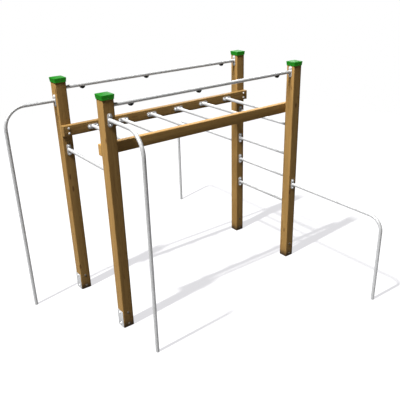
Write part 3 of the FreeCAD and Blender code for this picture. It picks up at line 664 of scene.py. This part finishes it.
def fastener_set(node, solid, seats, lift=0.0, look=FASTENER):
    """One kind of fastener at all its seats, in place of a CAD node."""
    copies = []
    start = next_grain()
    for number, seat in enumerate(seats):
        place = seat @ raised(lift) @ spin(number)
        shift = start + Vector((0.1 * number, 0, 0))
        copies.append(solid.placed(place, shift))
    make_piece(f"{node}_set", joined(copies), look, node, sharp=25)


# ---- Steel bars --------------------------------------------------------------------------

TUBE_STEPS = 40
BEND_STEPS = 24


def weld_ring(radius, leg):
    """A hand-laid fillet weld round a tube, with the ripples of its drops."""
    steps = 132
    ripples = 33
    sections = []
    for step in range(steps):
        angle = FULL * step / steps
        ripple = 0.5 + 0.5 * math.cos(ripples * angle)
        size = leg * (0.84 + 0.12 * ripple + 0.04 * math.sin(3 * angle))
        profile = [(radius - 0.001, -0.0005), (radius - 0.001, size)]
        profile += [(radius, size), (radius + 0.38 * size, 0.68 * size)]
        profile += [(radius + 0.72 * size, 0.36 * size), (radius + size, -0.0005)]
        direction = Vector((math.cos(angle), math.sin(angle), 0))
        sections.append([direction * reach + UP * height for reach, height in profile])
    return skin(sections, loop=True)


def flange():
    """A round-ended flange plate with its screw holes and the weld to the tube."""
    bore = SCREW_RADIUS + SCREW_CLEARANCE
    holes = [circle(bore, (side * FLANGE_HOLES / 2, 0), 24) for side in (-1, 1)]
    outline = oblong(FLANGE_LENGTH, FLANGE_WIDTH)
    body = plate([outline, *holes], FLANGE_THICKNESS, FLANGE_EDGE)
    weld = weld_ring(TUBE_RADIUS, WELD_LEG).placed(raised(FLANGE_THICKNESS))
    return joined([body, weld])


def tube(path):
    """A round tube through (place, tangent, distance) stops, open at both ends."""
    side = path[0][1].cross(path[-1][1])
    if side.length < 0.1:
        side = path[0][1].orthogonal()
    side.normalize()
    rims = []
    for place, tangent, distance in path:
        other = tangent.cross(side)
        for radius in (TUBE_RADIUS, TUBE_RADIUS - TUBE_WALL):
            ring = []
            mark = []
            for step in range(TUBE_STEPS):
                angle = FULL * step / TUBE_STEPS
                x, y = radius * math.cos(angle), radius * math.sin(angle)
                ring.append(place + side * x + other * y)
                mark.append(Vector((x, y, distance)))
            rims.append((ring, mark))
    ordered = rims[0::2] + rims[1::2][::-1]
    start = next_grain()
    grain = [point + start for ring, mark in ordered for point in mark]
    return skin([ring for ring, mark in ordered], grain, loop=True)


FLANGE = flange()
SMALL_WASHER = washer(WASHER_RADIUS, SCREW_RADIUS + SCREW_CLEARANCE)
LARGE_WASHER = washer(BOLT_WASHER_RADIUS, BOLT_RADIUS + SCREW_CLEARANCE)
seats = {"overhead_rung": [], "ladder_rung": [], "top_bar": [], "bent_bar": []}


def flange_piece(name, node, place, kind):
    """A flange at its place, and the seats of its two screws."""
    make_piece(name, FLANGE.placed(place, next_grain()), GALVANISED, node)
    for side in (-1, 1):
        shift = Matrix.Translation((side * FLANGE_HOLES / 2, 0, FLANGE_THICKNESS))
        seats[kind].append(place @ shift)


def straight_bar(node, kind, along, side):
    """A tube between two flanges in place of a CAD bar."""
    low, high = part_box(node)
    span = (high - low).dot(along)
    origin = (low + high) / 2 - along * span / 2
    near = frame_at(origin, along, side)
    far = frame_at(origin + along * span, -along, side)
    flange_piece(f"{node}_near_flange", node, near, kind)
    flange_piece(f"{node}_far_flange", node, far, kind)
    inset = FLANGE_THICKNESS - 0.0005
    path = [(origin + along * inset, along, inset)]
    path.append((origin + along * (span - inset), along, span - inset))
    make_piece(f"{node}_tube", tube(path), GALVANISED, node)


def bent_bar(node, outward, bend):
    """A tube that leaves a post, bends down and ends on the ground, with its flange."""
    low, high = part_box(node)
    middle = (low + high) / 2
    level = high.z - FLANGE_LENGTH / 2
    extent = abs((high - low).dot(outward))
    root = middle - outward * extent / 2
    root.z = level
    reach = extent - TUBE_RADIUS
    flange_piece(f"{node}_flange", node, frame_at(root, outward, UP), "bent_bar")
    straight = reach - bend
    inset = FLANGE_THICKNESS - 0.0005
    path = [(root + outward * inset, outward, inset)]
    centre = root + outward * straight - UP * bend
    for step in range(BEND_STEPS + 1):
        angle = QUARTER * step / BEND_STEPS
        place = centre + outward * bend * math.sin(angle) + UP * bend * math.cos(angle)
        tangent = outward * math.cos(angle) - UP * math.sin(angle)
        path.append((place, tangent, straight + bend * angle))
    foot = root + outward * reach
    foot.z = 0.0
    path.append((foot, -UP, straight + bend * QUARTER + level - bend))
    make_piece(f"{node}_tube", tube(path), GALVANISED, node)


for number in range(1, 7):
    straight_bar(f"overhead_rung_{number}", "overhead_rung", ACROSS, ALONG)
for number in range(1, 5):
    straight_bar(f"ladder_rung_{number}", "ladder_rung", ACROSS, UP)
straight_bar("end_rung", "ladder_rung", ACROSS, UP)
for side in ("front", "rear"):
    straight_bar(f"top_bar_{side}", "top_bar", ALONG, UP)
bent_bar("climbing_pole_left", -ALONG, TALL_BEND)
bent_bar("climbing_pole_front", -ACROSS, TALL_BEND)
bent_bar("turning_bar_front", -ACROSS, LOW_BEND)
bent_bar("turning_bar_rear", ACROSS, LOW_BEND)

for kind, places in seats.items():
    fastener_set(f"{kind}_screws", coach_screw(FLANGE_SCREW_LENGTH), places, WASHER)
    fastener_set(f"{kind}_washers", SMALL_WASHER, places)


# ---- Hanging lugs ------------------------------------------------------------------------


def under_bar(y, sunk=0.0):
    """The height of a bar's underside beside its middle, measured from its axis."""
    return -math.sqrt((TUBE_RADIUS - sunk) ** 2 - y**2)


def lug():
    """A thick half-moon with an eye, fitted to the underside of its bar and welded to it."""
    half = LUG_THICKNESS / 2
    top = under_bar(0) + 0.0005
    first = math.asin((top + LUG_DROP) / LUG_RADIUS)
    sweep = math.pi + 2 * first
    outline = []
    for step in range(41):
        angle = first - sweep * step / 40
        outline.append((LUG_RADIUS * math.cos(angle), LUG_RADIUS * math.sin(angle) - LUG_DROP))
    eye = circle(LUG_EYE_RADIUS, (0, -LUG_EYE_DROP), 28)
    body = plate([outline, eye], LUG_THICKNESS, LUG_EDGE)
    body = body.placed(frame_at(Vector((0, half, 0)), -ACROSS, ALONG))
    # The body's flat top is filled up to the round bar.
    side = half - 0.0002
    saddle = []
    for x in (-LUG_SADDLE, LUG_SADDLE):
        across = [side * (step / 4 - 1) for step in range(9)]
        ring = [Vector((x, y, under_bar(y, 0.0003))) for y in across]
        ring += [Vector((x, side, top - 0.003)), Vector((x, -side, top - 0.003))]
        saddle.append(ring)
    shells = [body, skin(saddle)]
    for sign in (-1, 1):
        sections = []
        for step in range(97):
            x = (step / 48 - 1) * 0.9 * LUG_SADDLE
            leg = LUG_WELD * (0.94 + 0.06 * math.cos(step * FULL / 8))
            foot = under_bar(half) - leg
            profile = [(half - 0.001, foot), (half, foot)]
            profile += [(half + 0.55 * leg, (foot + under_bar(half + leg)) / 2)]
            profile += [(half + leg, under_bar(half + leg, 0.0003))]
            profile += [(half, under_bar(half, 0.0008)), (half - 0.001, under_bar(half, 0.0008))]
            sections.append([Vector((x, sign * y, z)) for y, z in profile])
        shells.append(skin(sections))
    return joined(shells)


LUG = lug()
for side in ("front", "rear"):
    bar_low, bar_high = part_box(f"top_bar_{side}")
    bar_middle = (bar_low + bar_high) / 2
    for place in ("left", "middle", "right"):
        node = f"hanging_lug_{side}_{place}"
        low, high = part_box(node)
        seat = Vector(((low.x + high.x) / 2, bar_middle.y, bar_middle.z))
        solid = LUG.placed(Matrix.Translation(seat), next_grain())
        make_piece(f"{node}_plate", solid, BLACK, node)


# ---- Post caps ---------------------------------------------------------------------------


def rounded_square(side, radius, height, steps=6):
    """Points round a square with rounded corners, at a height."""
    points = []
    for turn in range(4):
        spin_corner = Matrix.Rotation(turn * QUARTER, 2)
        corner = Vector((side / 2 - radius, side / 2 - radius))
        for step in range(steps + 1):
            angle = QUARTER * step / steps
            arm = radius * Vector((math.cos(angle), math.sin(angle)))
            point = spin_corner @ (corner + arm)
            points.append(Vector((point.x, point.y, height)))
    return points


CAP_FLARE = (CAP_UPPER - CAP_LOWER) / CAP_SIDE


def cap():
    """A moulded cap from its cavity outward: lip, flared sides, rounded shoulder, low roof."""
    inner = CAP_INNER
    stations = [(0.02, 0.004, CAP_CAVITY), (inner - 0.004, 0.0075, CAP_CAVITY)]
    stations += [(inner - 0.0008, 0.0085, CAP_CAVITY - 0.0012), (inner, 0.0085, 0.033)]
    stations += [(inner, 0.0085, 0.0012), (inner + 0.0012, 0.009, 0.0)]
    stations += [(CAP_LOWER - 0.0004, 0.01, 0.0), (CAP_LOWER + 0.0012, 0.0106, 0.0009)]
    stations += [(CAP_LOWER + 0.0026, 0.0112, 0.0032), (CAP_LOWER + 0.003, 0.0112, 0.0062)]
    stations += [(CAP_LOWER + 0.0026, 0.011, 0.0074)]
    for height in (0.0082, 0.016, 0.026, 0.036, 0.041):
        stations.append((CAP_LOWER + CAP_FLARE * height, 0.01, height))
    upper = CAP_UPPER
    stations += [(upper - 0.0005, 0.0102, 0.0428), (upper - 0.002, 0.0105, 0.0441)]
    stations += [(upper - 0.0045, 0.0105, 0.0451), (upper - 0.009, 0.01, 0.0459)]
    stations += [(0.1, 0.009, 0.0491), (0.07, 0.007, 0.0522), (0.04, 0.0055, 0.0553)]
    stations += [(0.028, 0.005, 0.0564), (0.02, 0.0045, 0.0569), (0.009, 0.003, 0.057)]
    return skin([rounded_square(*station) for station in stations])


CAP = cap()
screw_low, screw_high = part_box("cap_screws")
screw_level = (screw_low.z + screw_high.z) / 2
# The heads stand as far out as the flared side does at their upper edges.
lean = (CAP_LOWER + CAP_FLARE * CAP_SCREW_TOP) / 2
cap_seats = []
for corner in CORNERS:
    node = f"cap_{corner}"
    low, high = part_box(node)
    middle = (low + high) / 2
    middle.z = low.z
    solid = CAP.placed(Matrix.Translation(middle), next_grain())
    make_piece(f"{node}_moulding", solid, GREEN, node)
    for outward in (ACROSS, -ACROSS):
        seat = Vector((middle.x, middle.y, screw_level)) + outward * lean
        cap_seats.append(frame_at(seat, outward, UP))
fastener_set("cap_screws", cap_screw(), cap_seats, look=DULL)


# ---- Beam joints and ground anchors --------------------------------------------------------


def anchor_angle(x_sign):
    """A folded steel angle for a post's foot, its corner at the post's outer rear edge."""
    outer = POST_HALF + ANCHOR_THICKNESS
    outline = [(outer - ANCHOR_LEG, outer), (outer - ANCHOR_LEG, POST_HALF)]
    outer_bend = ANCHOR_BEND + ANCHOR_THICKNESS
    centre = POST_HALF - ANCHOR_BEND
    for step in range(6):
        angle = QUARTER * (1 - step / 5)
        x = centre + ANCHOR_BEND * math.cos(angle)
        outline.append((x, centre + ANCHOR_BEND * math.sin(angle)))
    outline += [(POST_HALF, outer - ANCHOR_LEG), (outer, outer - ANCHOR_LEG)]
    for step in range(9):
        angle = QUARTER * step / 8
        x = centre + outer_bend * math.cos(angle)
        outline.append((x, centre + outer_bend * math.sin(angle)))
    sections = []
    for level in (0.0, ANCHOR_HEIGHT):
        sections.append([Vector((x_sign * x, y, level)) for x, y in outline])
    return skin(sections)


def drilled_and_softened(solid, holes, edge):
    """A solid less round holes, each given by a place on its axis, with bevelled edges."""

    def as_object(shape, name):
        mesh = bpy.data.meshes.new(name)
        mesh.from_pydata(shape.points, [], shape.faces)
        work = bmesh.new()
        work.from_mesh(mesh)
        bmesh.ops.recalc_face_normals(work, faces=work.faces)
        work.to_mesh(mesh)
        work.free()
        made = bpy.data.objects.new(name, mesh)
        bpy.context.scene.collection.objects.link(made)
        return made

    base = as_object(solid, "drill_base")
    bore = SCREW_RADIUS + SCREW_CLEARANCE
    drill = turned([(bore, -0.02), (bore, 0.02)], steps=28)
    tool = as_object(joined([drill.placed(hole) for hole in holes]), "drill_tool")
    cut = base.modifiers.new("cut", "BOOLEAN")
    cut.object = tool
    cut.operation = "DIFFERENCE"
    cut.solver = "EXACT"
    soft = base.modifiers.new("soft", "BEVEL")
    soft.width = edge
    soft.segments = 2
    soft.limit_method = "ANGLE"
    soft.angle_limit = math.radians(50)
    graph = bpy.context.evaluated_depsgraph_get()
    mesh = bpy.data.meshes.new_from_object(base.evaluated_get(graph))
    points = [vertex.co.copy() for vertex in mesh.vertices]
    faces = [list(face.vertices) for face in mesh.polygons]
    bpy.data.objects.remove(base)
    bpy.data.objects.remove(tool)
    bpy.data.meshes.remove(mesh)
    return Solid(points, faces)


beam_seats = []
screw_seats = []
bolt_seats = []
nut_seats = []
for corner in CORNERS:
    low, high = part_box(f"post_{corner}")
    middle = (low + high) / 2
    half = (high.x - low.x) / 2
    side = "front" if middle.y < 0 else "rear"
    inward = ACROSS if middle.y < 0 else -ACROSS
    beam_low, beam_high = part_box(f"beam_{side}")
    beam_face = half + beam_high.y - beam_low.y
    for step in (-0.5, 0.5):
        level = (beam_low.z + beam_high.z) / 2 + step * BEAM_SCREWS
        seat = Vector((middle.x, middle.y, level)) + inward * beam_face
        beam_seats.append(frame_at(seat, inward, UP))
    outer_sign = -1 if "left" in corner else 1
    outer_end = ALONG * outer_sign
    holes = []
    for row in ANCHOR_ROWS:
        centre = Vector((middle.x, middle.y, row))
        seat = centre + outer_end * (half + ANCHOR_THICKNESS)
        screw_seats.append(frame_at(seat, outer_end, UP))
        bolt_seats.append(frame_at(centre - ACROSS * half, -ACROSS, UP))
        nut_seats.append(frame_at(centre + ACROSS * (half + ANCHOR_THICKNESS), ACROSS, UP))
        local = Vector((0, 0, row))
        holes.append(frame_at(local + outer_end * half, outer_end, UP))
        holes.append(frame_at(local + ACROSS * half, ACROSS, UP))
    angle = drilled_and_softened(anchor_angle(outer_sign), holes, ANCHOR_EDGE)
    foot = Matrix.Translation((middle.x, middle.y, 0))
    solid = angle.placed(foot, next_grain())
    make_piece(f"anchor_{corner}_angle", solid, GALVANISED, f"anchor_{corner}")

fastener_set("beam_screws", coach_screw(BEAM_SCREW_LENGTH), beam_seats, WASHER)
fastener_set("beam_washers", SMALL_WASHER, beam_seats)
fastener_set("anchor_screws", coach_screw(ANCHOR_SCREW_LENGTH), screw_seats, WASHER)
fastener_set("anchor_screw_washers", SMALL_WASHER, screw_seats)
bolt_length = 2 * half + ANCHOR_THICKNESS + WASHER + NUT_HEIGHT + BOLT_SPARE
fastener_set("anchor_bolts", anchor_bolt(bolt_length), bolt_seats, look=DULL)
fastener_set("anchor_bolt_washers", LARGE_WASHER, nut_seats)
fastener_set("anchor_nuts", nut(), nut_seats, WASHER)


# ---- Floor, light and camera ---------------------------------------------------------------

FLOOR_RADIUS = 9.0
FLOOR_COLOUR = grey(0.14)
FLOOR_GLOW = (0.735, 0.73, 0.755, 1)
FLOOR_BOUNCE = grey(0.04)
CAMERA_PLACE = (-3.3286, -5.1371, 3.7028)
CAMERA_LENS = 50.51
CAMERA_SHIFT = (-0.0408, 0.0373)
LAMP_PLACE = (-12.5, -1.7, 25.9)
LAMP_COLOUR = (0.98, 0.98, 0.965)
# Length, width and power of the two lamps that stand at that place.
FLOOR_LAMP = (1.9, 0.55, 30000.0)
OBJECT_LAMP = (4.6, 10.0, 29000.0)


def make_floor():
    """A wide pale floor that looks even, but throws little light up at the object."""
    look = Look("pale_floor")
    look.shader.inputs["Base Color"].default_value = FLOOR_COLOUR
    look.shader.inputs["Roughness"].default_value = 1.0
    look.shader.inputs["Specular IOR Level"].default_value = 0.0
    look.shader.inputs["Emission Color"].default_value = FLOOR_GLOW
    look.shader.inputs["Emission Strength"].default_value = 1.0
    felt = look.node("BsdfDiffuse", {"Color": FLOOR_BOUNCE})
    # Shiny metal sees a floor that dims away from the object.
    place = look.node("NewGeometry", output="Position")
    distance = look.node("VectorMath", {0: place}, "Value", operation="LENGTH")
    pool = look.spread(distance, 2.8, 5.5, 1.1, 0.2)
    mirrored = look.node("Emission", {"Strength": pool})
    path = look.tree.nodes.new("ShaderNodeLightPath")
    shown = look.shader.outputs[0]
    chosen = look.node("MixShader", {0: path.outputs["Is Diffuse Ray"], 1: shown, 2: felt})
    chosen = look.node("MixShader", {0: path.outputs["Is Glossy Ray"], 1: chosen, 2: mirrored})
    look.plug(look.tree.nodes["Material Output"].inputs["Surface"], chosen)
    outline = [Vector((x, y, -0.001)) for x, y in circle(FLOOR_RADIUS, steps=128)]
    mesh = bpy.data.meshes.new("floor")
    mesh.from_pydata(outline, [], [list(range(len(outline)))])
    mesh.materials.append(look.material)
    floor = bpy.data.objects.new("floor", mesh)
    bpy.context.scene.collection.objects.link(floor)
    return floor


def light_only(holder, lit):
    """Lets a light reach these objects and no others."""
    group = bpy.data.collections.new(f"{holder.name}_receivers")
    for item in lit:
        group.objects.link(item)
    holder.light_linking.receiver_collection = group


def make_lamp(name, length, width, power, lit):
    """An oval lamp high up beyond the left end, its length along the beams' direction."""
    lamp = bpy.data.lights.new(name, "AREA")
    lamp.shape = "ELLIPSE"
    lamp.size = length
    lamp.size_y = width
    lamp.energy = power
    lamp.color = LAMP_COLOUR
    holder = bpy.data.objects.new(name, lamp)
    back = Vector(LAMP_PLACE).normalized()
    across = back.cross(ALONG).normalized()
    turn = Matrix((across.cross(back), across, back)).transposed().to_4x4()
    holder.matrix_world = Matrix.Translation(LAMP_PLACE) @ turn
    bpy.context.scene.collection.objects.link(holder)
    light_only(holder, lit)


def make_sun(name, direction, strength, softness, colour, lit):
    """A distant lamp that shines in a direction."""
    lamp = bpy.data.lights.new(name, "SUN")
    lamp.energy = strength
    lamp.angle = math.radians(softness)
    lamp.color = colour
    holder = bpy.data.objects.new(name, lamp)
    holder.rotation_mode = "QUATERNION"
    holder.rotation_quaternion = Vector(direction).to_track_quat("-Z", "Y")
    bpy.context.scene.collection.objects.link(holder)
    light_only(holder, lit)


def make_sky():
    """A dim even sky for light, and a white one behind the floor's far edge."""
    world = bpy.data.worlds.new("sky")
    world.use_nodes = True
    tree = world.node_tree
    light = tree.nodes["Background"]
    light.inputs["Color"].default_value = (1.0, 0.92, 0.7, 1)
    light.inputs["Strength"].default_value = 0.06
    backdrop = tree.nodes.new("ShaderNodeBackground")
    backdrop.inputs["Color"].default_value = (1, 1, 1, 1)
    backdrop.inputs["Strength"].default_value = 1.0
    path = tree.nodes.new("ShaderNodeLightPath")
    chosen = tree.nodes.new("ShaderNodeMixShader")
    tree.links.new(path.outputs["Is Camera Ray"], chosen.inputs[0])
    tree.links.new(light.outputs[0], chosen.inputs[1])
    tree.links.new(backdrop.outputs[0], chosen.inputs[2])
    tree.links.new(chosen.outputs[0], tree.nodes["World Output"].inputs["Surface"])
    bpy.context.scene.world = world


def make_camera():
    """The camera of the photograph: 38 degrees off the long side, looking down 25 degrees."""
    yaw = math.radians(38.3037)
    pitch = math.radians(25.1083)
    roll = math.radians(-0.8298)
    level = math.cos(pitch)
    ahead = Vector((math.sin(yaw) * level, math.cos(yaw) * level, -math.sin(pitch)))
    right = Vector((math.cos(yaw), -math.sin(yaw), 0))
    above = right.cross(ahead)
    turned_right = right * math.cos(roll) + above * math.sin(roll)
    turned_above = above * math.cos(roll) - right * math.sin(roll)
    lens = bpy.data.cameras.new("camera")
    lens.lens = CAMERA_LENS
    lens.sensor_width = 36.0
    lens.shift_x, lens.shift_y = CAMERA_SHIFT
    lens.clip_end = 300.0
    camera = bpy.data.objects.new("camera", lens)
    turn = Matrix((turned_right, turned_above, -ahead)).transposed().to_4x4()
    camera.matrix_world = Matrix.Translation(CAMERA_PLACE) @ turn
    bpy.context.scene.collection.objects.link(camera)
    bpy.context.scene.camera = camera


pieces = [item for item in bpy.context.scene.objects if item.type == "MESH"]
floor = make_floor()
# The floor takes crisp shadows from a small lamp, the object soft ones from a large lamp at the
# same place. Three weaker distant lamps fill the object's rear, front and left sides.
make_lamp("floor_lamp", *FLOOR_LAMP, [floor])
make_lamp("object_lamp", *OBJECT_LAMP, pieces)
make_sun("rear_fill", (-0.55, -0.6, -0.35), 2.0, 20.0, (0.97, 0.98, 1.0), pieces)
make_sun("front_fill", (0.25, 1.0, -0.35), 0.12, 50.0, (1.0, 0.92, 0.72), pieces)
make_sun("left_fill", (1.0, -0.18, -0.03), 0.4, 40.0, (1.0, 0.98, 0.95), pieces)
make_sky()
make_camera()
bpy.context.scene.view_settings.view_transform = "Standard"
